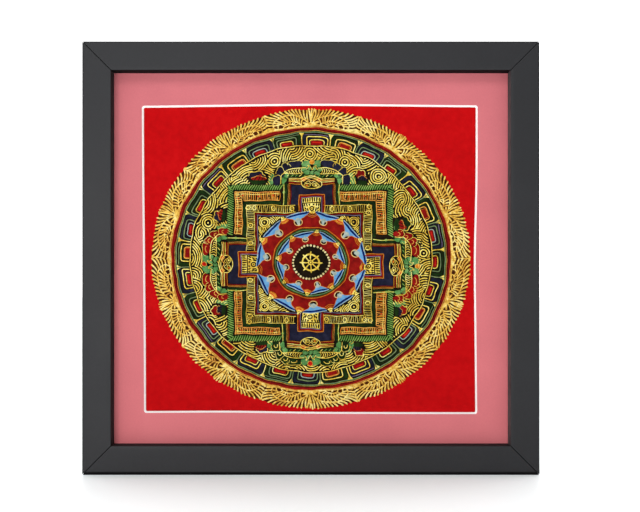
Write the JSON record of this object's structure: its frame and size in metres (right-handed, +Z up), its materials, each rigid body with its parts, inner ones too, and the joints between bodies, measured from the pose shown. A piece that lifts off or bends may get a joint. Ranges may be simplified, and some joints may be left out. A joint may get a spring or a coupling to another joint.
{
  "type": "thangka painting in a frame",
  "caption": "Small mandala thangka painted on primed cotton, lying flat behind a bevelled pink mat in a plain black mitred frame that stands upright on its bottom rail.",
  "frame": {"origin": "on the surface the frame stands on, under the middle of its width and depth", "axes": "+X along the frame's width, to the right as seen from the front; +Y from the painted face to the back; +Z up"},
  "size_m": [0.2742, 0.022, 0.2599],
  "materials": {
    "frame": "satin black paint on wood",
    "mat": "matt dusty pink paper face with a white bevelled core",
    "cloth": "matt red ground on primed cotton, with gold, blue and green line painting",
    "backing": "plain brown hardboard"
  },
  "bodies": {
    "root": {"frame_rail_top": "frame", "frame_rail_bottom": "frame", "frame_rail_left": "frame", "frame_rail_right": "frame", "mat_board": "mat", "thangka_cloth": "cloth", "backing_board": "backing"}
  },
  "joints": []
}
